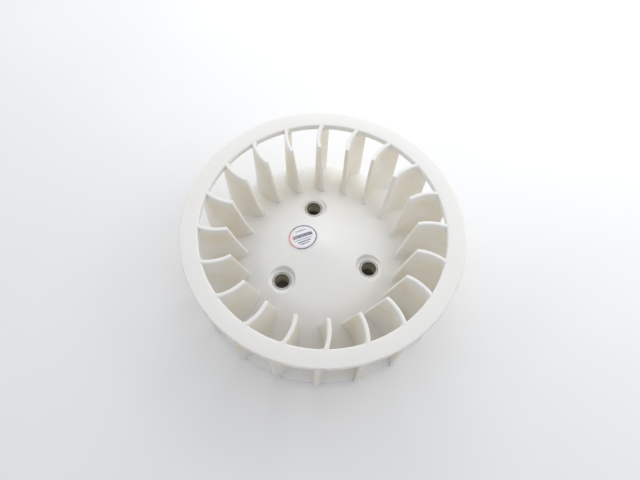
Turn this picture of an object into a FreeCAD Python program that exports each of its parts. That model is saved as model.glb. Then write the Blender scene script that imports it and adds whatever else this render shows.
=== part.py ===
"""Cooling fan of a small air-cooled engine's flywheel.

A centrifugal impeller: a domed rear disc carries twenty curved blades, a flat
front ring ties the blades together at the air inlet, and three steel bushes
take the screws that hold the fan on the flywheel rotor.

Millimetres. Z is the spin axis and +Z points to the air inlet. The origin is
the centre of the rear plane, and bush_1 lies on +Y.
"""
import FreeCAD, Part
import math
import os

# Overall
outer_diameter = 126.0          # over the front ring
overall_height = 44.5           # rear plane to the face of the ring

# Front ring
ring_width = 8.15               # outer edge to inner edge
ring_inner_depth = 3.3          # wall around the inlet
ring_outer_depth = 1.9          # wall at the outer edge
ring_edge_round = 0.5           # rounding of the ring's edges

# Blades
blade_count = 20
blade_phase = 9.6               # degrees from +X to the first blade, at the ring's inner edge
blade_thickness = 1.75
blade_camber_radius = 21.6      # plan view, to the middle of the blade's thickness
blade_setting_angle = 22.0      # degrees off radial where the blade crosses the ring's inner edge
blade_tip_inset = 1.8           # ring's outer edge to the blade tips
blade_face_length = 12.7        # how far a blade reaches inside the ring, at the face
blade_root_length = 19.0        # the same at the disc
blade_arc_margin = 8.0          # degrees of arc drawn past each end of a blade, then trimmed

# Rear disc
disc_edge_inset = 1.9           # blade tips to the disc's edge
disc_edge_depth = 2.2           # height of the disc's edge
disc_rear_land = 3.0            # flat rim under the disc's edge
disc_wall = 2.6                 # wall of the cone and crown, measured along Z
disc_slope = 27.5               # degrees of the cone
crown_start_radius = 30.0       # where the cone gives way to the flatter crown
crown_slope = 14.5              # degrees of the crown
crown_round = 21.6              # radius of the arc on top of the crown

# Bushes, their bosses and their seats
bush_count = 3
bush_circle_diameter = 48.4
bush_outer_diameter = 9.0
bush_bore_diameter = 7.0
bush_length = 9.2
bush_chamfer = 0.3
seat_height = 17.2              # rear plane to the seat face
seat_margin = 1.6               # seat floor outside the bush
seat_draft = 6.0                # degrees from the axis, on the seat's wall
boss_wall = 3.0                 # plastic around each bush
rib_count = 2                   # ribs beside each boss
rib_spread = 70.0               # degrees from the outward radial to each rib
rib_thickness = 1.6
rib_depth = 5.0                 # how far the ribs hang under the boss's top

# Sticker on the crown
label_diameter = 14.7
label_thickness = 0.15
label_radius = 10.6             # centre of the sticker from the axis
label_angle = 140.0             # degrees from +X

outer_radius = outer_diameter / 2
ring_inner_radius = outer_radius - ring_width
blade_tip_radius = outer_radius - blade_tip_inset
blade_face_radius = ring_inner_radius - blade_face_length
blade_root_radius = ring_inner_radius - blade_root_length
disc_radius = blade_tip_radius - disc_edge_inset
bush_circle_radius = bush_circle_diameter / 2
bush_radius = bush_outer_diameter / 2
boss_radius = bush_radius + boss_wall
boss_foot = seat_height - bush_length

AXIS = FreeCAD.Vector(0, 0, 1)
ORIGIN = FreeCAD.Vector(0, 0, 0)


def at(radius, height):
    """A point of a profile: distance from the axis and height."""
    return FreeCAD.Vector(radius, 0, height)


def polar(radius, degrees, height=0.0):
    """A point at a radius and an angle about the axis."""
    turn = math.radians(degrees)
    return FreeCAD.Vector(radius * math.cos(turn), radius * math.sin(turn), height)


def revolve(edges):
    """A solid of revolution from a closed profile."""
    face = Part.Face(Part.Wire(Part.sortEdges(edges)[0]))
    return face.revolve(ORIGIN, AXIS, 360)


def outline(points):
    """Straight edges that join the points in a closed loop."""
    return [Part.LineSegment(a, b).toShape() for a, b in zip(points, points[1:] + points[:1])]


def turned(shape, degrees):
    """A copy turned about the axis."""
    copy = shape.copy()
    copy.rotate(ORIGIN, AXIS, degrees)
    return copy


def cone_height(radius):
    """Height of the disc's cone at a radius."""
    return disc_edge_depth + (disc_radius - radius) * math.tan(math.radians(disc_slope))


def crown_edges(lift):
    """Profile of the disc's upper side, from its edge to the axis, lifted along Z.

    A cone gives way to a flatter one, the crown, which runs into an arc that is
    level on the axis. Returns the edges, the height at the disc's edge and the
    height on the axis.
    """
    slope = math.radians(crown_slope)
    edge_height = disc_edge_depth + lift
    crown_start_height = cone_height(crown_start_radius) + lift
    crown_apex = crown_start_height + crown_start_radius * math.tan(slope)
    top = crown_apex - crown_round * (1 / math.cos(slope) - 1)
    edge = at(disc_radius, edge_height)
    crown_start = at(crown_start_radius, crown_start_height)
    start = at(crown_round * math.sin(slope), top - crown_round * (1 - math.cos(slope)))
    middle = at(crown_round * math.sin(slope / 2), top - crown_round * (1 - math.cos(slope / 2)))
    end = at(0, top)
    edges = [
        Part.LineSegment(edge, crown_start).toShape(),
        Part.LineSegment(crown_start, start).toShape(),
        Part.Arc(start, middle, end).toShape(),
    ]
    return edges, edge_height, top


def dome(lift, foot):
    """Everything under the disc's upper side, lifted along Z, down to a foot height."""
    edges, edge_height, top = crown_edges(lift)
    edges.append(Part.LineSegment(at(0, top), at(0, foot)).toShape())
    edges.append(Part.LineSegment(at(0, foot), at(disc_radius, foot)).toShape())
    edges.append(Part.LineSegment(at(disc_radius, foot), at(disc_radius, edge_height)).toShape())
    return revolve(edges)


def boss_angles():
    """The bushes' places about the axis; the first is on +Y."""
    return [90.0 + 360.0 * index / bush_count for index in range(bush_count)]


def seat_tool():
    """The tapered pocket above a seat, and the hole that holds its bush."""
    floor_radius = bush_radius + seat_margin
    mouth_radius = floor_radius + overall_height * math.tan(math.radians(seat_draft))
    centre = FreeCAD.Vector(bush_circle_radius, 0, seat_height)
    pocket = Part.makeCone(floor_radius, mouth_radius, overall_height, centre, AXIS)
    hole = Part.makeCylinder(bush_radius, seat_height, FreeCAD.Vector(bush_circle_radius, 0, 0), AXIS)
    return pocket.fuse(hole)


def boss_with_ribs():
    """A boss under the disc and the ribs that brace it, on the +X side."""
    centre = FreeCAD.Vector(bush_circle_radius, 0, boss_foot)
    body = Part.makeCylinder(boss_radius, overall_height, centre, AXIS)
    for index in range(rib_count):
        side = 1 if index % 2 else -1
        rib = Part.makeBox(outer_radius, rib_thickness, rib_depth)
        rib.translate(FreeCAD.Vector(0, -rib_thickness / 2, seat_height - rib_depth))
        rib.rotate(ORIGIN, AXIS, side * rib_spread)
        rib.translate(FreeCAD.Vector(bush_circle_radius, 0, 0))
        body = body.fuse(rib)
    return body


def hub_disc():
    """The domed rear disc with its bosses, ribs and seats."""
    outside = dome(0, 0)
    hollow_radius = disc_radius - disc_rear_land
    hollow_limit = Part.makeCylinder(hollow_radius, overall_height, ORIGIN, AXIS)
    hollow = dome(-disc_wall, -overall_height).common(hollow_limit)
    shape = outside.cut(hollow)
    middle_of_wall = dome(-disc_wall / 2, 0)
    bosses = [turned(boss_with_ribs(), angle) for angle in boss_angles()]
    shape = shape.fuse([boss.common(middle_of_wall) for boss in bosses])
    shape = shape.cut([turned(seat_tool(), angle) for angle in boss_angles()])
    return shape.removeSplitter()


def rounded_corner(before, corner, after, radius):
    """The arc that rounds a corner of a profile, as start, middle and end."""
    back = (before - corner).normalize()
    ahead = (after - corner).normalize()
    half = back.getAngle(ahead) / 2
    reach = radius / math.tan(half)
    to_centre = (back + ahead).normalize()
    middle = corner + to_centre * (radius / math.sin(half) - radius)
    return corner + back * reach, middle, corner + ahead * reach


def front_ring():
    """The flat ring at the inlet, thinner and rounded at its outer edge."""
    face = overall_height
    inner_top = at(ring_inner_radius, face)
    outer_top = at(outer_radius, face)
    outer_under = at(outer_radius, face - ring_outer_depth)
    inner_under = at(ring_inner_radius, face - ring_inner_depth)
    top_arc = rounded_corner(inner_top, outer_top, outer_under, ring_edge_round)
    under_arc = rounded_corner(outer_top, outer_under, inner_under, ring_edge_round)
    return revolve([
        Part.LineSegment(inner_top, top_arc[0]).toShape(),
        Part.Arc(*top_arc).toShape(),
        Part.LineSegment(top_arc[2], under_arc[0]).toShape(),
        Part.Arc(*under_arc).toShape(),
        Part.LineSegment(under_arc[2], inner_under).toShape(),
        Part.LineSegment(inner_under, inner_top).toShape(),
    ])


def blade_space():
    """The turned space that blades may fill: over the disc, under the ring and up to its face."""
    face = overall_height
    ring_slope = (ring_inner_depth - ring_outer_depth) / ring_width
    tip_under_ring = face - ring_outer_depth - ring_slope * blade_tip_inset
    space = revolve(outline([
        at(blade_root_radius, 0),
        at(blade_tip_radius, 0),
        at(blade_tip_radius, tip_under_ring),
        at(ring_inner_radius, face - ring_inner_depth),
        at(ring_inner_radius, face),
        at(blade_face_radius, face),
        at(blade_root_radius, cone_height(blade_root_radius)),
    ]))
    return space.cut(dome(0, 0))


def camber_angle(centre, radius):
    """Direction, seen from the camber's centre, of the point where the blade crosses a radius."""
    reach = math.hypot(centre.x, centre.y)
    bearing = math.atan2(-centre.y, -centre.x)
    cosine = (blade_camber_radius ** 2 + reach ** 2 - radius ** 2) / (2 * blade_camber_radius * reach)
    return math.degrees(bearing - math.acos(max(-1.0, min(1.0, cosine))))


def blade(index, space):
    """One blade: an arc in plan, drawn straight up and trimmed to its space."""
    setting = math.radians(blade_setting_angle)
    centre = FreeCAD.Vector(
        ring_inner_radius - blade_camber_radius * math.sin(setting),
        -blade_camber_radius * math.cos(setting),
        0,
    )
    start = camber_angle(centre, blade_tip_radius) - blade_arc_margin
    end = camber_angle(centre, blade_root_radius) + blade_arc_margin
    outer = blade_camber_radius + blade_thickness / 2
    inner = blade_camber_radius - blade_thickness / 2
    body = Part.makeCylinder(outer, overall_height, centre, AXIS, end - start)
    body = body.cut(Part.makeCylinder(inner, overall_height, centre, AXIS))
    body.rotate(centre, AXIS, start)
    body = body.common(space)
    return turned(body, blade_phase + 360.0 * index / blade_count)


def bush(index):
    """One steel bush, flush with its seat and with its boss."""
    angle = boss_angles()[index]
    centre = polar(bush_circle_radius, angle, boss_foot)
    tube = Part.makeCylinder(bush_radius, bush_length, centre, AXIS)
    tube = tube.cut(Part.makeCylinder(bush_bore_diameter / 2, bush_length, centre, AXIS))
    bore_edges = [edge for edge in tube.Edges
                  if len(edge.Vertexes) == 1 and edge.Curve.Radius < bush_radius]
    return tube.makeChamfer(bush_chamfer, bore_edges)


def label():
    """The round sticker, lying on the disc's upper side."""
    centre = polar(label_radius, label_angle)
    column = Part.makeCylinder(label_diameter / 2, overall_height, centre, AXIS)
    return dome(label_thickness, 0).common(column).cut(dome(0, 0))


def export(name, shape):
    """Write one sub-part."""
    shape.exportStep("parts/" + name + ".step")


def main():
    os.makedirs("parts", exist_ok=True)
    space = blade_space()
    export("hub_disc", hub_disc())
    export("front_ring", front_ring())
    for index in range(blade_count):
        export("blade_%02d" % (index + 1), blade(index, space))
    for index in range(bush_count):
        export("bush_%d" % (index + 1), bush(index))
    export("label", label())


main()
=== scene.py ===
"""Looks of a flywheel cooling fan: nylon moulding, steel bushes, sticker and a pale stage.

Metres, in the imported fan's own frame: Z is the spin axis and +Z points to the air inlet.
"""
import math

import bmesh
import bpy
from bpy.props import FloatProperty, FloatVectorProperty, PointerProperty
from mathutils import Color, Matrix, Vector
from mathutils.geometry import delaunay_2d_cdt


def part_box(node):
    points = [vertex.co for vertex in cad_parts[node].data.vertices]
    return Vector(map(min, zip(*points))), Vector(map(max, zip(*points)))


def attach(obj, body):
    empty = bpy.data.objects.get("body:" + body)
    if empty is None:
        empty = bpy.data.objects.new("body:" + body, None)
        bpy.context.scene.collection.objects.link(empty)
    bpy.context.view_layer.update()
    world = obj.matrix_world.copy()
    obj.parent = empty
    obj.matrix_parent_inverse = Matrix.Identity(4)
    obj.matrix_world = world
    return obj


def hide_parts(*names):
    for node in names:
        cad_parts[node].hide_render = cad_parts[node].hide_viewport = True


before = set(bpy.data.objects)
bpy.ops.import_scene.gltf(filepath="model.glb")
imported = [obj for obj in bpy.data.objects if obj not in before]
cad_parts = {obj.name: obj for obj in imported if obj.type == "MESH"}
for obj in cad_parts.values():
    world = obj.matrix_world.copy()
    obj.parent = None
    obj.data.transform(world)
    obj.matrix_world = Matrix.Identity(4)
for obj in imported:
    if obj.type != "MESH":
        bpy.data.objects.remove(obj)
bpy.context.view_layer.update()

bl_info = {
    "name": "Flywheel cooling fan",
    "version": (1, 0, 0),
    "blender": (4, 5, 0),
    "location": "3D View > Sidebar > Fan",
    "description": "Builds the moulding, bushes and sticker of a flywheel cooling fan, and a stage",
    "category": "Object",
}

MM = 0.001
BODY = "root"

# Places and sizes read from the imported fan
RING_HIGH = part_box("front_ring")[1]
DISC_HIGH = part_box("hub_disc")[1]
BUSH_LOW, BUSH_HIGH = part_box("bush_1")
LABEL_LOW, LABEL_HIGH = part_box("label")
FACE_HEIGHT = RING_HIGH[2]
RING_RADIUS = RING_HIGH[0]
DISC_RADIUS = DISC_HIGH[0]
CROWN_HEIGHT = DISC_HIGH[2]
BUSH_CIRCLE = (BUSH_LOW[1] + BUSH_HIGH[1]) / 2
BUSH_RADIUS = (BUSH_HIGH[0] - BUSH_LOW[0]) / 2
SEAT_HEIGHT = BUSH_HIGH[2]
FOOT_HEIGHT = BUSH_LOW[2]
BLADES = ["blade_%02d" % (index + 1) for index in range(20)]
BUSHES = ["bush_%d" % (index + 1) for index in range(3)]

# How the meshes are cut and joined
SKIN_HOLE = 10 * MM  # plan radius round each bush that its seat column fills
MERGE_DISTANCE = 0.002 * MM
SHARP_ANGLE = math.radians(50)

# Plain bars in place of print: middle, half height and half length, in sticker radii
STICKER_BARS = (
    (0.52, 0.03, 0.34),
    (0.10, 0.13, 0.66),
    (-0.18, 0.025, 0.58),
    (-0.36, 0.05, 0.42),
    (-0.52, 0.04, 0.30),
)

# Soft square lights: name, heading and rise in degrees, distance in metres and power in watts
LIGHTS = (
    ("right", 0, 35, 0.50, 0.43),
    ("far_right", 50, 38, 0.32, 0.32),
    ("far", 95, 35, 0.40, 0.27),
    ("far_left", 135, 35, 0.60, 0.26),
    ("left", 180, 35, 0.70, 0.30),
    ("near_right", 315, 60, 0.70, 0.18),
    ("above", 60, 80, 0.50, 0.08),
)
LIGHT_SIZE = 0.35  # side of a light, in metres
LIGHT_TARGET = (0, 0, 0.02)  # the point they all aim at, in metres
LIGHT_TINT = (1.0, 1.0, 0.99)
SURROUND_COLOUR = (0.97, 0.98, 1.0, 1.0)
SURROUND_STRENGTH = 0.51
FLOOR_REACH = 3.0  # half the floor's side, in metres
NEAR_CLIP = 0.01  # the nearest that the camera sees, in metres


def length(name, text, millimetres):
    """A length property whose default is given in millimetres."""
    return FloatProperty(
        name=name, description=text, default=millimetres * MM, unit="LENGTH", precision=5)


def degrees(name, text, value):
    """An angle property whose default is given in degrees."""
    return FloatProperty(
        name=name, description=text, default=math.radians(value), unit="ROTATION")


def colour(name, text, value):
    """A linear RGB colour property."""
    return FloatVectorProperty(
        name=name, description=text, default=value, size=3, subtype="COLOR", min=0, max=1)


class FanRingSizes(bpy.types.PropertyGroup):
    """Sizes of the flat ring round the air inlet."""

    width: length("Width", "Outer edge to inner edge", 8.15)
    inner_depth: length("Inner depth", "Wall round the inlet", 3.3)
    outer_depth: length("Outer depth", "Wall at the outer edge", 1.9)
    inner_round: length("Inner edge round", "Rounding of the upper inner edge", 0.7)
    outer_round: length("Outer edge round", "Rounding of the upper outer edge", 0.8)
    under_round: length("Lower edge round", "Rounding of the two lower edges", 0.4)


class FanBladeSizes(bpy.types.PropertyGroup):
    """Sizes of one blade."""

    thickness: length("Thickness", "Wall of a blade", 1.75)
    camber_radius: length("Camber radius", "Plan radius at the middle of the wall", 21.6)
    setting: degrees("Setting angle", "Angle off radial at the ring's inner edge", 22.0)
    first: degrees("First blade", "Angle from +X to the first blade", 9.6)
    tip_radius: length("Tip radius", "Axis to the blade tips", 61.2)
    face_radius: length("Face radius", "Axis to the leading edge at the face", 42.15)
    root_radius: length("Root radius", "Axis to the leading edge at the disc", 35.85)
    root_fillet: length("Root fillet", "Fillet where a blade meets the disc or the ring", 0.9)
    edge_round: length("Edge round", "Rounding of the free edges", 0.4)


class FanHubSizes(bpy.types.PropertyGroup):
    """Sizes of the domed disc, its seats and its bosses."""

    slope: degrees("Cone slope", "Slope of the disc's cone", 27.5)
    crown_start: length("Crown start", "Axis to where the cone gives way to the crown", 30.0)
    crown_slope: degrees("Crown slope", "Slope of the flatter crown", 14.5)
    crown_blend: length("Crown blend", "Radius that blends the cone into the crown", 22.0)
    edge_depth: length("Edge depth", "Height of the disc's edge", 2.2)
    edge_round: length("Edge round", "Rounding of the disc's edge", 0.35)
    wall: length("Wall", "Wall of the dome, along Z", 2.6)
    rear_land: length("Rear land", "Width of the flat rim under the disc", 3.0)
    seat_margin: length("Seat margin", "Seat floor outside the bush", 1.6)
    seat_draft: degrees("Seat draft", "Draft of the seat's wall", 6.0)
    rim_round: length("Rim round", "Rounding of the seat's rim", 0.45)
    floor_fillet: length("Floor fillet", "Fillet at the foot of the seat's wall", 0.4)
    boss_wall: length("Boss wall", "Plastic around a bush", 3.0)
    boss_fillet: length("Boss fillet", "Fillet between a boss and the dome", 1.2)
    rib_thickness: length("Rib thickness", "Wall of a rib", 1.6)
    rib_depth: length("Rib depth", "How far a rib hangs under the seat's level", 5.0)
    rib_spread: degrees("Rib spread", "Outward radial to each rib beside a boss", 70.0)


class FanBushSizes(bpy.types.PropertyGroup):
    """Sizes of a steel bush."""

    bore_radius: length("Bore radius", "Radius of the screw hole", 3.5)
    bore_chamfer: length("Bore chamfer", "Chamfer at both mouths of the bore", 0.2)
    outer_chamfer: length("Outer chamfer", "Chamfer of the outer edges", 0.35)


class FanColours(bpy.types.PropertyGroup):
    """Colours and finish of the fan."""

    nylon: colour("Nylon", "Clean moulded nylon", (0.875, 0.872, 0.862))
    # Aged nylon: the real yellowing among the blades together with painted shade there
    aged_and_shaded: colour("Aged nylon", "Nylon that has yellowed among the blades", (0.865, 0.82, 0.715))
    dust: colour("Dust", "Brown dust baked on the blades", (0.50, 0.42, 0.29))
    speck: colour("Specks", "Fine dust specks", (0.40, 0.36, 0.29))
    scuff: colour("Scuffs", "Dirt in the scuffs round the ring", (0.55, 0.51, 0.45))
    steel: colour("Steel", "Turned steel of the bushes", (0.62, 0.605, 0.56))
    # Real tarnish in patches, and painted shade of the gap round each bush's rim
    tarnish_and_rim_shade: colour("Tarnish", "Dark film on the bushes", (0.09, 0.082, 0.07))
    # Painted shade on the wall of the bores just below their mouths
    bore: colour("Bore", "Wall of the bores just below their mouths", (0.30, 0.29, 0.25))
    # Painted light deep in the bores, where light shows through
    bore_light: colour("Oil", "Dried oil deep in the bores", (0.86, 0.80, 0.64))
    film: colour("Sticker film", "White film of the sticker", (0.87, 0.87, 0.90))
    print: colour("Sticker print", "Dark print on the sticker", (0.06, 0.068, 0.15))
    accent: colour("Sticker accent", "Second colour of the printed ring", (0.70, 0.13, 0.10))


class FanStage(bpy.types.PropertyGroup):
    """Floor and camera; the camera's place is measured from the middle of the ring's face."""

    floor: colour("Floor", "Pale floor", (0.94, 0.945, 0.96))
    lens: FloatProperty(name="Lens", description="Focal length", default=30.5, unit="CAMERA")
    aside: length("Aside", "Camera right of the axis, before the heading", -1.1214)
    back: length("Back", "Camera in front of the axis, before the heading", 110.5398)
    above: length("Above", "Camera above the ring's face", 211.3461)
    heading: degrees("Heading", "Turn of the camera and its place about the axis", -12.8)
    tilt: degrees("Tilt", "How far below the horizon the camera looks", 63.9077)
    roll: degrees("Roll", "Camera roll", 3.89)


# Shapes ------------------------------------------------------------------------------------------


def corner_arc(before, corner, after, radius, steps):
    """Points of the arc that rounds one corner of a profile."""
    back = (before - corner).normalized()
    ahead = (after - corner).normalized()
    half = back.angle(ahead) / 2
    inward = (back + ahead).normalized()
    centre = corner + inward * (radius / math.sin(half))
    start = corner + back * (radius / math.tan(half)) - centre
    turn = start.angle_signed(corner + ahead * (radius / math.tan(half)) - centre)
    return [centre + Matrix.Rotation(-turn * step / steps, 2) @ start for step in range(steps + 1)]


def rounded(corners, steps=5):
    """A closed profile from (radius, height, rounding) corners."""
    places = [Vector((radius, height)) for radius, height, rounding in corners]
    profile = []
    for index, (radius, height, rounding) in enumerate(corners):
        before = places[index - 1]
        after = places[(index + 1) % len(places)]
        if rounding > 0:
            profile += corner_arc(before, places[index], after, rounding, steps)
        else:
            profile.append(places[index])
    return profile


def clean_mesh(name, bm):
    """Merge doubles, point the faces outwards and shade smooth up to a sharp angle."""
    bmesh.ops.remove_doubles(bm, verts=bm.verts, dist=MERGE_DISTANCE)
    bmesh.ops.recalc_face_normals(bm, faces=bm.faces)
    mesh = bpy.data.meshes.new(name)
    bm.to_mesh(mesh)
    bm.free()
    mesh.shade_smooth()
    mesh.set_sharp_from_angle(angle=SHARP_ANGLE)
    return mesh


def add_grid(bm, rows, closed=False):
    """Faces between neighbouring rows of points; a closed grid also joins each row's ends."""
    made = [[bm.verts.new(point) for point in row] for row in rows]
    count = len(made[0])
    for upper, lower in zip(made, made[1:]):
        for index in range(count if closed else count - 1):
            following = (index + 1) % count
            bm.faces.new((upper[index], upper[following], lower[following], lower[index]))
    return made


def lathe(bm, profile, segments, centre=(0.0, 0.0)):
    """A closed turned body from a closed profile of (radius, height) points."""
    turns = [2 * math.pi * step / segments for step in range(segments)]
    rows = []
    for radius, height in profile + profile[:1]:
        rows.append([
            (centre[0] + radius * math.cos(turn), centre[1] + radius * math.sin(turn), height)
            for turn in turns])
    add_grid(bm, rows, closed=True)


def add_slab(bm, middles, normals, halves):
    """A closed slab: a grid of middle points pushed both ways along their normals."""
    sides = []
    for sign in (1, -1):
        rows = []
        for middle_row, normal_row, half_row in zip(middles, normals, halves):
            rows.append([middle + normal * half * sign
                         for middle, normal, half in zip(middle_row, normal_row, half_row)])
        sides.append(rows)
        add_grid(bm, rows)
    front, back = sides
    for edge in (0, -1):
        add_grid(bm, [front[edge], back[edge]])
        add_grid(bm, [[row[edge] for row in front], [row[edge] for row in back]])


def flare(distance, radius):
    """Extra half thickness of a wall at a distance from the surface it grows out of."""
    if distance >= radius:
        return 0.0
    reach = radius - max(distance, 0.0)
    return radius - math.sqrt(max(radius * radius - reach * reach, 0.0))


def cone_height(radius):
    """Height of the disc's cone at a radius."""
    hub = bpy.context.scene.fan_hub
    return hub.edge_depth + (DISC_RADIUS - radius) * math.tan(hub.slope)


def dome_height(radius):
    """Height of the disc's upper side: a cone, a flatter crown blended into it, and a round top."""
    hub = bpy.context.scene.fan_hub
    start = cone_height(hub.crown_start)
    blend_run = hub.crown_blend * math.tan((hub.slope - hub.crown_slope) / 2)
    blend_inner = hub.crown_start - blend_run * math.cos(hub.crown_slope)
    if radius > hub.crown_start + blend_run * math.cos(hub.slope):
        return cone_height(radius)
    if radius > blend_inner:
        middle = blend_inner - hub.crown_blend * math.sin(hub.crown_slope)
        low = (start + blend_run * math.sin(hub.crown_slope)
               - hub.crown_blend * math.cos(hub.crown_slope))
        return low + math.sqrt(hub.crown_blend ** 2 - (radius - middle) ** 2)
    apex = start + hub.crown_start * math.tan(hub.crown_slope)
    top_radius = (apex - CROWN_HEIGHT) / (1 / math.cos(hub.crown_slope) - 1)
    if radius > top_radius * math.sin(hub.crown_slope):
        return apex - radius * math.tan(hub.crown_slope)
    return CROWN_HEIGHT - top_radius + math.sqrt(top_radius ** 2 - radius ** 2)


# Geometry Nodes ----------------------------------------------------------------------------------


def repeat_tree():
    """A node tree that repeats a piece evenly about Z."""
    tree = bpy.data.node_groups.new("Repeat about the axis", "GeometryNodeTree")
    face = tree.interface
    face.new_socket("Geometry", in_out="INPUT", socket_type="NodeSocketGeometry")
    count = face.new_socket("Count", in_out="INPUT", socket_type="NodeSocketInt")
    count.default_value = 1
    face.new_socket("First angle", in_out="INPUT", socket_type="NodeSocketFloat")
    face.new_socket("Material", in_out="INPUT", socket_type="NodeSocketMaterial")
    face.new_socket("Geometry", in_out="OUTPUT", socket_type="NodeSocketGeometry")
    nodes = tree.nodes
    link = tree.links.new
    source = nodes.new("NodeGroupInput")
    points = nodes.new("GeometryNodeMeshLine")
    points.mode = "OFFSET"
    points.inputs["Offset"].default_value = (0, 0, 0)
    link(source.outputs["Count"], points.inputs["Count"])
    index = nodes.new("GeometryNodeInputIndex")
    share = math_node(nodes, link, "DIVIDE", 2 * math.pi, source.outputs["Count"])
    turn = math_node(nodes, link, "MULTIPLY", index.outputs["Index"], share)
    angle = math_node(nodes, link, "ADD", turn, source.outputs["First angle"])
    rotation = nodes.new("ShaderNodeCombineXYZ")
    link(angle, rotation.inputs["Z"])
    copies = nodes.new("GeometryNodeInstanceOnPoints")
    link(points.outputs["Mesh"], copies.inputs["Points"])
    link(source.outputs["Geometry"], copies.inputs["Instance"])
    link(rotation.outputs["Vector"], copies.inputs["Rotation"])
    real = nodes.new("GeometryNodeRealizeInstances")
    link(copies.outputs["Instances"], real.inputs["Geometry"])
    finish = nodes.new("GeometryNodeSetMaterial")
    link(real.outputs["Geometry"], finish.inputs["Geometry"])
    link(source.outputs["Material"], finish.inputs["Material"])
    result = nodes.new("NodeGroupOutput")
    link(finish.outputs["Geometry"], result.inputs["Geometry"])
    return tree


def math_node(nodes, link, operation, first, second):
    """The output of a Math node whose two inputs are numbers or sockets."""
    node = nodes.new("ShaderNodeMath")
    node.operation = operation
    for socket, value in zip(node.inputs, (first, second)):
        if isinstance(value, (int, float)):
            socket.default_value = value
        else:
            link(value, socket)
    return node.outputs[0]


def repeated(mesh, count, first_angle, material):
    """A plain mesh of a piece repeated about Z by the node tree."""
    blank = bpy.data.objects.new(mesh.name + "_blank", mesh)
    bpy.context.collection.objects.link(blank)
    modifier = blank.modifiers.new("Repeat", "NODES")
    modifier.node_group = repeat_tree()
    values = {"Count": count, "First angle": first_angle, "Material": material}
    for item in modifier.node_group.interface.items_tree:
        if item.in_out == "INPUT" and item.name in values:
            modifier[item.identifier] = values[item.name]
    evaluated = blank.evaluated_get(bpy.context.evaluated_depsgraph_get())
    result = bpy.data.meshes.new_from_object(evaluated)
    bpy.data.objects.remove(blank)
    return result


# Materials ---------------------------------------------------------------------------------------


class Shader:
    """A material with a Principled surface, and short ways to add nodes to it."""

    def __init__(self, name):
        self.material = bpy.data.materials.new(name)
        self.material.use_nodes = True
        self.nodes = self.material.node_tree.nodes
        self.link = self.material.node_tree.links.new
        self.surface = self.nodes["Principled BSDF"]
        self.place = self.nodes.new("ShaderNodeTexCoord").outputs["Object"]

    def noise(self, scale, detail=3.0, roughness=0.55):
        """Noise of a scale in waves per metre."""
        node = self.nodes.new("ShaderNodeTexNoise")
        node.inputs["Scale"].default_value = scale
        node.inputs["Detail"].default_value = detail
        node.inputs["Roughness"].default_value = roughness
        self.link(self.place, node.inputs["Vector"])
        return node.outputs["Fac"]

    def ranged(self, value, low, high, to_low=0.0, to_high=1.0):
        """A value mapped smoothly from one range to another."""
        node = self.nodes.new("ShaderNodeMapRange")
        node.interpolation_type = "SMOOTHSTEP"
        self.link(value, node.inputs["Value"])
        for name, number in (("From Min", low), ("From Max", high),
                             ("To Min", to_low), ("To Max", to_high)):
            node.inputs[name].default_value = number
        return node.outputs["Result"]

    def patches(self, scale, low, high, least=0.0, most=1.0, detail=3.0, roughness=0.55):
        """Soft patches: least where the noise is under low, most where it is over high."""
        return self.ranged(self.noise(scale, detail, roughness), low, high, least, most)

    def math(self, operation, first, second=0.0):
        """A Math node."""
        return math_node(self.nodes, self.link, operation, first, second)

    def product(self, first, *others):
        """The product of several numbers or sockets."""
        for other in others:
            first = self.math("MULTIPLY", first, other)
        return first

    def hypot(self, first, second):
        """The root of the sum of two squares."""
        square = self.math("ADD", self.product(first, first), self.product(second, second))
        return self.math("SQRT", square)

    def band(self, value, middle, half_width, edge=0.015):
        """1 where a value lies within a half width of the middle, with a soft edge."""
        gap = self.math("ABSOLUTE", self.math("SUBTRACT", value, middle))
        return self.ranged(gap, half_width - edge, half_width + edge, 1.0, 0.0)

    def mix(self, share, first, second):
        """A colour mix; the share is a number or a socket, and a colour may be a socket too."""
        node = self.nodes.new("ShaderNodeMix")
        node.data_type = "RGBA"
        sockets = [socket for socket in node.inputs if socket.enabled]
        for socket, value in zip(sockets, (share, first, second)):
            if isinstance(value, (int, float)):
                socket.default_value = value
            elif isinstance(value, (tuple, Color)):
                socket.default_value = (*value, 1.0)
            else:
                self.link(value, socket)
        return next(socket for socket in node.outputs if socket.enabled)

    def attribute(self, name):
        """A number stored on the mesh's points."""
        node = self.nodes.new("ShaderNodeAttribute")
        node.attribute_name = name
        return node.outputs["Fac"]

    def split(self, vector):
        """The components of a vector."""
        node = self.nodes.new("ShaderNodeSeparateXYZ")
        self.link(vector, node.inputs["Vector"])
        return node.outputs

    def moved(self, offset, turn, scale):
        """Object coordinates, moved so that a place is the origin, then turned and scaled."""
        shift = self.nodes.new("ShaderNodeVectorMath")
        shift.operation = "SUBTRACT"
        shift.inputs[1].default_value = offset
        self.link(self.place, shift.inputs[0])
        node = self.nodes.new("ShaderNodeMapping")
        node.inputs["Rotation"].default_value = (0, 0, turn)
        node.inputs["Scale"].default_value = (scale, scale, scale)
        self.link(shift.outputs[0], node.inputs["Vector"])
        return node.outputs["Vector"]

    def bump(self, height, strength, depth):
        """Surface relief of a depth in metres."""
        node = self.nodes.new("ShaderNodeBump")
        node.inputs["Strength"].default_value = strength
        node.inputs["Distance"].default_value = depth
        self.link(height, node.inputs["Height"])
        self.link(node.outputs["Normal"], self.surface.inputs["Normal"])

    def constant(self, **values):
        """Numbers set straight on the Principled sockets, with _ for a space."""
        for name, value in values.items():
            self.surface.inputs[name.replace("_", " ")].default_value = value

    def drive(self, socket, value):
        """Link a value to a Principled socket."""
        self.link(value, self.surface.inputs[socket])


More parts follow.
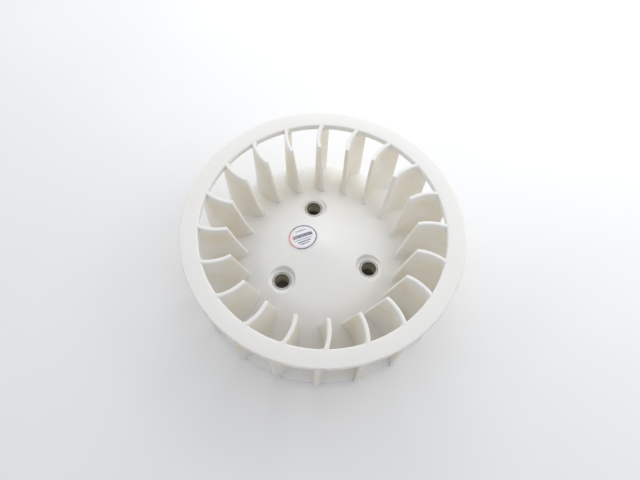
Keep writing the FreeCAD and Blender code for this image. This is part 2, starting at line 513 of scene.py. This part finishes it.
def nylon_material(name="natural_nylon", stain_and_shade=0.3):
    """Natural nylon: off-white, satin and a little translucent, stained cream and scuffed; among
    the blades it is yellowed and darkened, partly real stain and partly painted shade.
    """
    colours = bpy.context.scene.fan_colours
    ring = bpy.context.scene.fan_ring
    shader = Shader(name)
    place = shader.split(shader.place)
    height = place["Z"]
    radius = shader.hypot(place["X"], place["Y"])

    # Cream tone: faint clouds all over, and stronger blotches among the blades, below the face and
    # above the floor, partly real stain and partly painted shade where the blades shelter each
    # other
    cloud = shader.patches(30, 0.36, 0.68, most=0.16)
    among_blades = shader.ranged(radius, 33 * MM, 42 * MM)
    below_face = shader.ranged(height, 38 * MM, 44 * MM, 1.0, 0.0)
    above_floor = shader.ranged(height, 2.5 * MM, 8 * MM)
    blotch = shader.patches(75, 0.3, 0.7, least=0.3, most=1.35)
    stained_and_shaded = shader.product(among_blades, below_face, above_floor, blotch, stain_and_shade)
    base = shader.mix(shader.math("ADD", stained_and_shaded, cloud), colours.nylon, colours.aged_and_shaded)

    # Brown dust in the same places, and fine specks all over
    patch = shader.product(
        shader.patches(60, 0.42, 0.75, most=0.17, detail=2.0, roughness=0.5), stained_and_shaded)
    baked = shader.mix(patch, base, colours.dust)
    speck = shader.patches(900, 0.68, 0.78, most=0.14, detail=2.0, roughness=0.7)
    dusty = shader.mix(speck, baked, colours.speck)

    # Scuffs round the ring's outer edge
    rim = shader.ranged(radius, RING_RADIUS - 0.7 * MM, RING_RADIUS - 0.1 * MM)
    face = shader.ranged(height, FACE_HEIGHT - ring.inner_depth, FACE_HEIGHT - ring.outer_depth)
    scuffs = shader.patches(260, 0.45, 0.7, least=0.03, most=0.42, detail=5.0, roughness=0.65)
    worn = shader.product(rim, face, scuffs)
    shader.drive("Base Color", shader.mix(worn, dusty, colours.scuff))
    shader.drive("Roughness", shader.patches(160, 0.3, 0.75, least=0.36, most=0.52, detail=5.0))

    # A fine grain on shallow waves, dented where it is scuffed
    grain = shader.noise(2600, 4.0, 0.6)
    waves = shader.noise(110, 2.0)
    relief = shader.math("ADD", shader.product(grain, 0.35), waves)
    relief = shader.math("SUBTRACT", relief, shader.product(worn, 0.5))
    shader.bump(relief, strength=0.2, depth=0.12 * MM)
    shader.constant(IOR=1.53, Subsurface_Weight=0.3, Subsurface_Scale=1.2 * MM,
                    Subsurface_Radius=(1.0, 0.92, 0.8), Specular_IOR_Level=0.4)
    return shader.material


def blade_nylon_material():
    """The same nylon with more yellowing and darkening among the blades, partly real stain and
    partly painted shade.
    """
    return nylon_material("blade_nylon_stained_and_shaded", stain_and_shade=0.78)


def steel_material():
    """Dull turned steel with patchy tarnish and painted shade round its rim; down the bore the
    colour runs from painted shade near the mouth to painted light deep down.
    """
    colours = bpy.context.scene.fan_colours
    shader = Shader("turned_steel")
    rim_shade, bore_light = (shader.attribute(name) for name in ("rim_shade", "bore_light"))
    # Real tarnish in patches, and painted shade round each bush's rim where it meets its seat
    cloud = shader.patches(900, 0.38, 0.7, most=0.35, detail=4.0)
    film = shader.math("MAXIMUM", cloud, shader.product(rim_shade, 0.85))
    metal = shader.mix(film, colours.steel, colours.tarnish_and_rim_shade)
    # Down the bore: painted shade just below the mouth that turns to painted light deep down, with
    # little metal so that the painted colour shows
    in_bore = shader.ranged(bore_light, 0.02, 0.2)
    deep = shader.ranged(bore_light, 0.25, 0.8)
    bore = shader.mix(deep, colours.bore, colours.bore_light)
    shader.drive("Base Color", shader.mix(in_bore, metal, bore))
    shader.drive("Metallic", shader.ranged(in_bore, 0.0, 1.0, 1.0, 0.15))
    shader.drive("Roughness", shader.patches(1500, 0.3, 0.7, least=0.3, most=0.5))
    shader.bump(shader.noise(5000, 2.0), strength=0.3, depth=0.03 * MM)
    return shader.material


def sticker_material(centre, radius):
    """White film with a thin printed ring and plain bars; it carries no lettering."""
    colours = bpy.context.scene.fan_colours
    shader = Shader("sticker_film")
    place = shader.split(shader.moved(centre, turn=math.radians(-8), scale=1 / radius))
    across, along = place["X"], place["Y"]
    ink = shader.band(shader.hypot(across, along), middle=0.885, half_width=0.05)
    for middle, half_height, half_length in STICKER_BARS:
        bar = shader.product(shader.band(along, middle, half_height),
                             shader.band(across, middle=0.0, half_width=half_length))
        ink = shader.math("MAXIMUM", ink, bar)
    wear = shader.patches(1400, 0.42, 0.62, least=0.6)
    side = shader.ranged(across, -0.62, -0.46, 1.0, 0.0)
    printed = shader.mix(side, colours.print, colours.accent)
    shader.drive("Base Color", shader.mix(shader.product(ink, wear), colours.film, printed))
    shader.drive("Roughness", shader.patches(500, 0.3, 0.7, least=0.22, most=0.36))
    shader.bump(shader.noise(420), strength=0.2, depth=0.05 * MM)
    shader.constant(IOR=1.46)
    return shader.material


def floor_material():
    """Pale matt table top with a faint cloudiness."""
    shader = Shader("pale_table")
    floor = bpy.context.scene.fan_stage.floor
    clouded = tuple(channel * 0.97 for channel in floor)
    shader.drive("Base Color", shader.mix(shader.patches(6, 0.3, 0.7), floor, clouded))
    shader.drive("Roughness", shader.patches(40, 0.3, 0.7, least=0.55, most=0.7))
    return shader.material


# Pieces ------------------------------------------------------------------------------------------


def show(name, mesh, material):
    """Put a mesh in the scene under a name, with one material."""
    mesh.materials.clear()
    mesh.materials.append(material)
    piece = bpy.data.objects.new(name, mesh)
    bpy.context.collection.objects.link(piece)
    return piece


def shared(name, make):
    """A material that several pieces use, made once."""
    return bpy.data.materials.get(name) or make()


def ring_mesh():
    """The ring as a turned body with rounded edges."""
    sizes = bpy.context.scene.fan_ring
    inner = RING_RADIUS - sizes.width
    bm = bmesh.new()
    lathe(bm, rounded([
        (inner, FACE_HEIGHT, sizes.inner_round),
        (RING_RADIUS, FACE_HEIGHT, sizes.outer_round),
        (RING_RADIUS, FACE_HEIGHT - sizes.outer_depth, sizes.under_round),
        (inner, FACE_HEIGHT - sizes.inner_depth, sizes.under_round),
    ], steps=7), segments=320)
    return clean_mesh("front_ring_moulding", bm)


def spaced(start, end, step, fine):
    """Places from start to end: even steps, and close ones over a fine width at both ends."""
    close = [fine * share for share in (0.0, 0.12, 0.3, 0.55, 1.0)]
    count = max(2, round((end - start - 2 * fine) / step))
    middle = [start + fine + (end - start - 2 * fine) * index / count for index in range(1, count)]
    return [start + gap for gap in close] + middle + [end - gap for gap in reversed(close)]


def blade_place(radius):
    """Point and wall normal in plan where the blade's camber line crosses a radius."""
    blade = bpy.context.scene.fan_blade
    inner = RING_RADIUS - bpy.context.scene.fan_ring.width
    centre = Vector((inner - blade.camber_radius * math.sin(blade.setting),
                     -blade.camber_radius * math.cos(blade.setting)))
    reach = centre.length
    cosine = (radius ** 2 + reach ** 2 - blade.camber_radius ** 2) / (2 * radius * reach)
    angle = math.atan2(centre.y, centre.x) + math.acos(max(-1.0, min(1.0, cosine)))
    point = Vector((radius * math.cos(angle), radius * math.sin(angle)))
    return point, (point - centre).normalized()


def blade_half(radius, height, lead, top):
    """Half thickness of a blade: flared at the disc and the ring, rounded at its free edges."""
    scene = bpy.context.scene
    blade, ring, hub = scene.fan_blade, scene.fan_ring, scene.fan_hub
    inner = RING_RADIUS - ring.width
    under = FACE_HEIGHT - ring.inner_depth
    fillet_fade = 1.6 * MM  # the ring's fillet dies away over this depth below the face
    if radius < inner:
        to_ring = math.hypot(inner - radius, max(under - height, 0.0))
    else:
        climb = (radius - inner) * (ring.inner_depth - ring.outer_depth) / ring.width
        to_ring = under + climb - height
    if radius > DISC_RADIUS:
        to_disc = math.hypot(radius - DISC_RADIUS, max(height - hub.edge_depth, 0.0))
    else:
        to_disc = (height - cone_height(radius)) * math.cos(hub.slope)
    under_face = min(max((top - height) / fillet_fade, 0.0), 1.0)
    half = (blade.thickness / 2 + flare(to_ring, blade.root_fillet) * under_face
            + flare(to_disc, blade.root_fillet))
    free_edges = [lead, blade.tip_radius - radius]
    if radius < inner + ring.inner_round:
        free_edges.append(top - height)
    if radius > DISC_RADIUS:
        free_edges.append(height)
    return half - max(flare(gap, blade.edge_round) for gap in free_edges)


def blade_mesh():
    """One blade at angle 0: a grid from its leading edge to its tip, from the disc to the face."""
    scene = bpy.context.scene
    blade, ring = scene.fan_blade, scene.fan_ring
    inner = RING_RADIUS - ring.width
    stride = 1.1 * MM
    flush = FACE_HEIGHT - 0.02 * MM  # top of the blade where it shows inside the ring
    sunk = FACE_HEIGHT - ring.outer_depth / 2  # and where the ring covers it
    below_ring = FACE_HEIGHT - ring.inner_depth - 1.6 * blade.root_fillet
    foot_sink = 0.8 * MM
    foot_lift = 0.03 * MM
    foot_stretch = 1.33  # the columns stand this much further apart at the foot
    climb_steps, top_steps = 13, 24
    columns = spaced(blade.face_radius, inner - 1.5 * MM, stride, blade.edge_round)
    columns += [inner + gap * MM
                for gap in (-1.2, -0.9, -0.65, -0.4, -0.2, 0.0, 0.2, 0.45, 0.8, 1.3)]
    columns += spaced(inner + 2 * MM, blade.tip_radius, stride, blade.edge_round)
    middles, normals, halves = [], [], []
    for face_radius in columns:
        from_edge = face_radius - blade.face_radius
        share = from_edge / (blade.tip_radius - blade.face_radius)
        foot_radius = blade.root_radius + (blade.tip_radius - blade.root_radius) * share
        top = flush if face_radius < inner + ring.inner_round + 0.2 * MM else sunk
        on_disc = foot_radius < DISC_RADIUS - 0.7 * MM
        surface = cone_height(foot_radius) if on_disc else foot_lift
        near_foot = [surface - foot_sink if on_disc else surface]
        near_foot += [surface + blade.root_fillet * gap
                      for gap in (0.02, 0.1, 0.22, 0.4, 0.7, 1.1, 1.6)]
        climb = [near_foot[-1] + (below_ring - near_foot[-1]) * index / climb_steps
                 for index in range(1, climb_steps)]
        near_top = [below_ring + (top - below_ring) * index / top_steps
                    for index in range(top_steps + 1)]
        middle_row, normal_row, half_row = [], [], []
        for height in near_foot + climb + near_top:
            rise = (height - surface) / (FACE_HEIGHT - surface)
            radius = foot_radius + (face_radius - foot_radius) * rise
            lead = from_edge * (1 - rise) * foot_stretch + from_edge * rise
            point, normal = blade_place(radius)
            middle_row.append(Vector((point.x, point.y, height)))
            normal_row.append(Vector((normal.x, normal.y, 0)))
            half_row.append(blade_half(radius, height, lead, top))
        middles.append(middle_row)
        normals.append(normal_row)
        halves.append(half_row)
    bm = bmesh.new()
    add_slab(bm, middles, normals, halves)
    return clean_mesh("blades_moulding", bm)


def bush_places():
    """Plan positions of the three bushes and their angles; the first is on +Y."""
    angles = [math.pi / 2 + 2 * math.pi * index / len(BUSHES) for index in range(len(BUSHES))]
    return [(Vector((BUSH_CIRCLE * math.cos(angle), BUSH_CIRCLE * math.sin(angle))), angle)
            for angle in angles]


def circle(centre, radius, count):
    """Points evenly round a circle in plan."""
    turns = [2 * math.pi * index / count for index in range(count)]
    return [centre + Vector((math.cos(turn), math.sin(turn))) * radius for turn in turns]


def add_skin(bm, outer_radius, outer_count, hole_count, height):
    """A triangulated skin over a disc, with a round hole at each bush; height gives its lift."""
    spacing = 1.7 * MM
    weld = 1e-7
    bushes = [centre for centre, _ in bush_places()]
    loops = [circle(Vector((0, 0)), outer_radius, outer_count)]
    loops += [circle(centre, SKIN_HOLE, hole_count) for centre in bushes]
    points, edges = [], []
    for loop in loops:
        first = len(points)
        points += loop
        edges += [(first + index, first + (index + 1) % len(loop)) for index in range(len(loop))]
    rings = int(outer_radius / spacing)
    for ring in range(rings):
        radius = outer_radius * ring / rings
        count = max(1, round(2 * math.pi * radius / spacing))
        points += [point for point in circle(Vector((0, 0)), radius, count)
                   if min((point - centre).length for centre in bushes) > SKIN_HOLE + 0.6 * spacing]
    plan, _, faces, *_ = delaunay_2d_cdt(points, edges, [], 0, weld)
    verts = [bm.verts.new((point.x, point.y, height(point.length))) for point in plan]
    for face in faces:
        middle = sum((plan[index] for index in face), Vector((0, 0))) / len(face)
        if min((middle - centre).length for centre in bushes) > SKIN_HOLE * 0.999:
            bm.faces.new([verts[index] for index in face])
    for vert in [vert for vert in verts if not vert.link_faces]:
        bm.verts.remove(vert)


def seat_column(centre, direction, under):
    """Points down one side of a bush's place: dome, rim, seat, hole, boss and underside."""
    hub = bpy.context.scene.fan_hub
    floor_radius = BUSH_RADIUS + hub.seat_margin
    boss_radius = BUSH_RADIUS + hub.boss_wall
    foot_round = 0.4 * MM

    def point(reach, height):
        place = centre + direction * reach
        return Vector((place.x, place.y, height))

    def dome(reach):
        return dome_height((centre + direction * reach).length)

    climb = max(dome(floor_radius) - SEAT_HEIGHT, 0.1 * MM)
    rim = floor_radius + climb * math.tan(hub.seat_draft)
    rim_round = min(hub.rim_round, climb * 0.45)
    fillet = min(hub.floor_fillet, climb * 0.45)
    root = under((centre + direction * (boss_radius + hub.boss_fillet)).length)
    approach = [SKIN_HOLE + (rim + rim_round - SKIN_HOLE) * step / 3 for step in range(3)]
    turns = [math.pi / 2 * step / 5 for step in range(6)]
    quarter = [(1 - math.sin(turn), 1 - math.cos(turn)) for turn in turns]

    column = [point(reach, dome(reach)) for reach in approach]
    column += [point(rim + rim_round * across, dome(rim + rim_round * across) - rim_round * down)
               for across, down in quarter]
    column += [point(floor_radius - fillet * across, SEAT_HEIGHT + fillet * up)
               for up, across in quarter]
    column += [point(BUSH_RADIUS, SEAT_HEIGHT), point(BUSH_RADIUS, FOOT_HEIGHT)]
    column += [point(boss_radius - foot_round * across, FOOT_HEIGHT + foot_round * up)
               for across, up in quarter]
    column += [point(boss_radius + hub.boss_fillet * across, root - hub.boss_fillet * down)
               for down, across in quarter]
    column.append(point(SKIN_HOLE, under((centre + direction * SKIN_HOLE).length)))
    return column


def add_rib(bm, centre, direction, under):
    """One rib from a boss outwards along the dome's underside."""
    hub = bpy.context.scene.fan_hub
    edge_round, fillet, stride, steps = 0.3 * MM, 0.6 * MM, 0.8 * MM, 10
    normal = Vector((-direction.y, direction.x, 0))
    low = SEAT_HEIGHT - hub.rib_depth
    middles, normals, halves = [], [], []
    reach = BUSH_RADIUS + hub.boss_wall / 2
    while under((centre + direction * reach).length) > low - hub.wall / 2 and reach < DISC_RADIUS:
        place = centre + direction * reach
        skin = under(place.length)
        top = skin + hub.wall / 2
        bottom = min(low, skin)
        heights = [bottom + gap * MM for gap in (0.0, 0.05, 0.15, 0.3)]
        heights += [bottom + edge_round + (top - bottom - edge_round) * index / steps
                    for index in range(1, steps + 1)]
        middles.append([Vector((place.x, place.y, height)) for height in heights])
        normals.append([normal] * len(heights))
        halves.append([hub.rib_thickness / 2 + flare(skin - height, fillet)
                       - flare(height - bottom, edge_round) for height in heights])
        reach += stride
    add_slab(bm, middles, normals, halves)


def hub_mesh():
    """The domed disc: two skins joined by an edge and by a seat and boss at each bush, and ribs."""
    hub = bpy.context.scene.fan_hub
    edge_count, hole_count, arc_steps = 288, 96, 5
    shoulder = DISC_RADIUS - hub.edge_round
    rear_radius = DISC_RADIUS - hub.rear_land

    def under(radius):
        return dome_height(radius) - hub.wall

    bm = bmesh.new()
    add_skin(bm, shoulder, edge_count, hole_count, dome_height)
    add_skin(bm, rear_radius, edge_count, hole_count, under)

    # The edge: a rounded rim between the two skins
    cone_top = Vector((0, cone_height(0)))
    upper = Vector((DISC_RADIUS, hub.edge_depth))
    lower = Vector((DISC_RADIUS, 0))
    profile = [Vector((shoulder, dome_height(shoulder)))]
    profile += corner_arc(cone_top, upper, lower, hub.edge_round, arc_steps)
    profile += corner_arc(upper, lower, Vector((0, 0)), hub.edge_round, arc_steps)
    profile += [Vector((rear_radius, 0)), Vector((rear_radius, under(rear_radius)))]
    add_grid(bm, [[(*place, height) for place in circle(Vector((0, 0)), radius, edge_count)]
                  for radius, height in profile], closed=True)

    for centre, angle in bush_places():
        directions = circle(Vector((0, 0)), 1.0, hole_count)
        columns = [seat_column(centre, direction, under) for direction in directions]
        add_grid(bm, [list(row) for row in zip(*columns)], closed=True)
        for side in (-1, 1):
            turn = angle + side * hub.rib_spread
            add_rib(bm, centre, Vector((math.cos(turn), math.sin(turn))), under)
    return clean_mesh("hub_disc_moulding", bm)


def bush_mesh():
    """One bush at angle 0, a turned tube with chamfered mouths.

    Its points carry the painted shade round its outer edge and the share of painted light in its
    bore, from 0 to 1.
    """
    sizes = bpy.context.scene.fan_bush
    mouth = sizes.bore_radius + sizes.bore_chamfer
    outside = BUSH_RADIUS - 0.01 * MM  # a hair inside its hole
    shoulder = outside - sizes.outer_chamfer
    small = 0.05 * MM
    bore_light_at_top = 0.2
    bm = bmesh.new()
    lathe(bm, rounded([
        (sizes.bore_radius, FOOT_HEIGHT + sizes.bore_chamfer, small),
        (sizes.bore_radius, SEAT_HEIGHT - sizes.bore_chamfer, small),
        (mouth, SEAT_HEIGHT, small),
        (shoulder, SEAT_HEIGHT, small),
        (outside, SEAT_HEIGHT - sizes.outer_chamfer, small),
        (outside, FOOT_HEIGHT + sizes.outer_chamfer, small),
        (shoulder, FOOT_HEIGHT, small),
        (mouth, FOOT_HEIGHT, small),
    ], steps=3), segments=96, centre=(BUSH_CIRCLE, 0.0))
    mesh = clean_mesh("screw_bushes", bm)
    rim_shade = mesh.attributes.new("rim_shade", "FLOAT", "POINT")
    bore_light = mesh.attributes.new("bore_light", "FLOAT", "POINT")
    for vertex, rim_shade_value, film in zip(mesh.vertices, rim_shade.data, bore_light.data):
        reach = math.hypot(vertex.co.x - BUSH_CIRCLE, vertex.co.y)
        # Painted shade of the gap between steel and plastic, on the outer chamfers and wall
        rim_shade_value.value = 1.0 if reach > shoulder + small else 0.0
        film.value = 0.0
        # Share of painted light down the bore: full at the foot, least at the mouth
        if reach < sizes.bore_radius + small:
            rise = (vertex.co.z - FOOT_HEIGHT) / (SEAT_HEIGHT - FOOT_HEIGHT)
            film.value = 1.0 - (1.0 - bore_light_at_top) * rise
    return mesh


def sticker_mesh(centre, radius):
    """A thin round film that follows the dome, with a rounded rim."""
    thickness, rim_round, sink = 0.13 * MM, 0.04 * MM, 0.02 * MM
    segments, rings = 96, 14
    reaches = [radius * ring / rings for ring in range(1, rings + 1)]
    bm = bmesh.new()

    def circle_at(reach, lift):
        return [(*place, dome_height(place.length) + lift)
                for place in circle(centre, reach, segments)]

    rows = [circle_at(reach, -sink) for reach in reaches]
    rows += [circle_at(radius, thickness * 0.6), circle_at(radius - rim_round, thickness * 0.9)]
    rows += [circle_at(reach, thickness) for reach in reversed(reaches[:-1])]
    made = add_grid(bm, rows, closed=True)
    for row in (made[0], made[-1]):
        bm.faces.new(row)
    return clean_mesh("sticker", bm)


# Operators ---------------------------------------------------------------------------------------


class FAN_OT_ring(bpy.types.Operator):
    """Make the flat ring at the air inlet"""

    bl_idname = "fan.ring"
    bl_label = "Front ring"

    def execute(self, context):
        piece = show("front_ring_moulding", ring_mesh(), shared("natural_nylon", nylon_material))
        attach(piece, BODY)
        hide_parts("front_ring")
        return {"FINISHED"}


class FAN_OT_blades(bpy.types.Operator):
    """Make the twenty curved blades"""

    bl_idname = "fan.blades"
    bl_label = "Blades"

    def execute(self, context):
        # The blades take a copy of the nylon with stronger stain and painted shade among them
        nylon = blade_nylon_material()
        mesh = repeated(blade_mesh(), len(BLADES), context.scene.fan_blade.first, nylon)
        piece = show("blades_moulding", mesh, nylon)
        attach(piece, BODY)
        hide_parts(*BLADES)
        return {"FINISHED"}


class FAN_OT_hub(bpy.types.Operator):
    """Make the domed disc with its seats, bosses and ribs"""

    bl_idname = "fan.hub"
    bl_label = "Hub disc"

    def execute(self, context):
        piece = show("hub_disc_moulding", hub_mesh(), shared("natural_nylon", nylon_material))
        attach(piece, BODY)
        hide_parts("hub_disc")
        return {"FINISHED"}


class FAN_OT_bushes(bpy.types.Operator):
    """Make the three steel bushes"""

    bl_idname = "fan.bushes"
    bl_label = "Screw bushes"

    def execute(self, context):
        steel = steel_material()
        piece = show("screw_bushes", repeated(bush_mesh(), len(BUSHES), math.pi / 2, steel), steel)
        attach(piece, BODY)
        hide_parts(*BUSHES)
        return {"FINISHED"}


class FAN_OT_sticker(bpy.types.Operator):
    """Make the round sticker on the dome"""

    bl_idname = "fan.sticker"
    bl_label = "Sticker"

    def execute(self, context):
        middle = [(low + high) / 2 for low, high in zip(LABEL_LOW, LABEL_HIGH)]
        radius = (LABEL_HIGH[0] - LABEL_LOW[0]) / 2
        mesh = sticker_mesh(Vector(middle[:2]), radius)
        piece = show("sticker", mesh, sticker_material(middle, radius))
        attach(piece, BODY)
        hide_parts("label")
        return {"FINISHED"}


class FAN_OT_stage(bpy.types.Operator):
    """Make the floor, the lights and the camera"""

    bl_idname = "fan.stage"
    bl_label = "Stage"

    def execute(self, context):
        make_floor()
        make_lights()
        make_camera()
        context.scene.view_settings.view_transform = "Standard"
        return {"FINISHED"}


def make_floor():
    """A large pale floor under the fan."""
    bm = bmesh.new()
    bmesh.ops.create_grid(bm, x_segments=8, y_segments=8, size=FLOOR_REACH)
    mesh = bpy.data.meshes.new("floor")
    bm.to_mesh(mesh)
    bm.free()
    show("floor", mesh, floor_material())


def aimed(location, target, roll=0.0):
    """A matrix at a location whose -Z looks at a target."""
    look = Vector(target) - Vector(location)
    turn = look.to_track_quat("-Z", "Y").to_matrix().to_4x4()
    return Matrix.Translation(location) @ turn @ Matrix.Rotation(roll, 4, "Z")


def make_light(name, place, power):
    """A soft square light aimed at the fan."""
    data = bpy.data.lights.new(name, "AREA")
    data.shape = "SQUARE"
    data.size = LIGHT_SIZE
    data.energy = power
    data.color = LIGHT_TINT
    light = bpy.data.objects.new(name, data)
    light.matrix_world = aimed(place, LIGHT_TARGET)
    bpy.context.collection.objects.link(light)


def make_lights():
    """Soft lights round the fan, most of them on its far side, and a pale surround."""
    for name, heading, rise, reach, power in LIGHTS:
        turn, lift = math.radians(heading), math.radians(rise)
        flat = math.cos(lift)
        place = Vector((flat * math.cos(turn), flat * math.sin(turn), math.sin(lift))) * reach
        make_light(name, place, power)
    world = bpy.data.worlds.new("surround")
    world.use_nodes = True
    surround = world.node_tree.nodes["Background"]
    surround.inputs["Color"].default_value = SURROUND_COLOUR
    surround.inputs["Strength"].default_value = SURROUND_STRENGTH
    bpy.context.scene.world = world


def make_camera():
    """The camera, in front of the fan and above it, tilted down towards the ring's face."""
    stage = bpy.context.scene.fan_stage
    turn = Matrix.Rotation(stage.heading, 3, "Z")
    place = turn @ Vector((stage.aside, -stage.back, stage.above)) + Vector((0, 0, FACE_HEIGHT))
    look = turn @ Vector((0, math.cos(stage.tilt), -math.sin(stage.tilt)))
    data = bpy.data.cameras.new("camera")
    data.lens = stage.lens
    data.clip_start = NEAR_CLIP
    camera = bpy.data.objects.new("camera", data)
    camera.matrix_world = aimed(place, place + look, stage.roll)
    bpy.context.collection.objects.link(camera)
    bpy.context.scene.camera = camera


class FAN_PT_panel(bpy.types.Panel):
    """The fan's pieces and sizes"""

    bl_label = "Flywheel fan"
    bl_idname = "FAN_PT_panel"
    bl_space_type = "VIEW_3D"
    bl_region_type = "UI"
    bl_category = "Fan"

    def draw(self, context):
        for operator in OPERATORS:
            self.layout.operator(operator.bl_idname)
        for name in SETTINGS:
            box = self.layout.box()
            group = getattr(context.scene, name)
            for field in group.__annotations__:
                box.prop(group, field)


SETTINGS = {
    "fan_ring": FanRingSizes,
    "fan_blade": FanBladeSizes,
    "fan_hub": FanHubSizes,
    "fan_bush": FanBushSizes,
    "fan_colours": FanColours,
    "fan_stage": FanStage,
}
OPERATORS = (FAN_OT_ring, FAN_OT_blades, FAN_OT_hub, FAN_OT_bushes, FAN_OT_sticker, FAN_OT_stage)


def register():
    """Add the classes and the scene's settings."""
    for kind in (*SETTINGS.values(), *OPERATORS, FAN_PT_panel):
        bpy.utils.register_class(kind)
    for name, kind in SETTINGS.items():
        setattr(bpy.types.Scene, name, PointerProperty(type=kind))


def unregister():
    """Take the classes and the settings away again."""
    for name in SETTINGS:
        delattr(bpy.types.Scene, name)
    for kind in (FAN_PT_panel, *reversed(OPERATORS), *reversed(SETTINGS.values())):
        bpy.utils.unregister_class(kind)


def main():
    """Build every piece and the stage."""
    register()
    bpy.ops.fan.ring()
    bpy.ops.fan.blades()
    bpy.ops.fan.hub()
    bpy.ops.fan.bushes()
    bpy.ops.fan.sticker()
    bpy.ops.fan.stage()


if __name__ == "__main__":
    main()
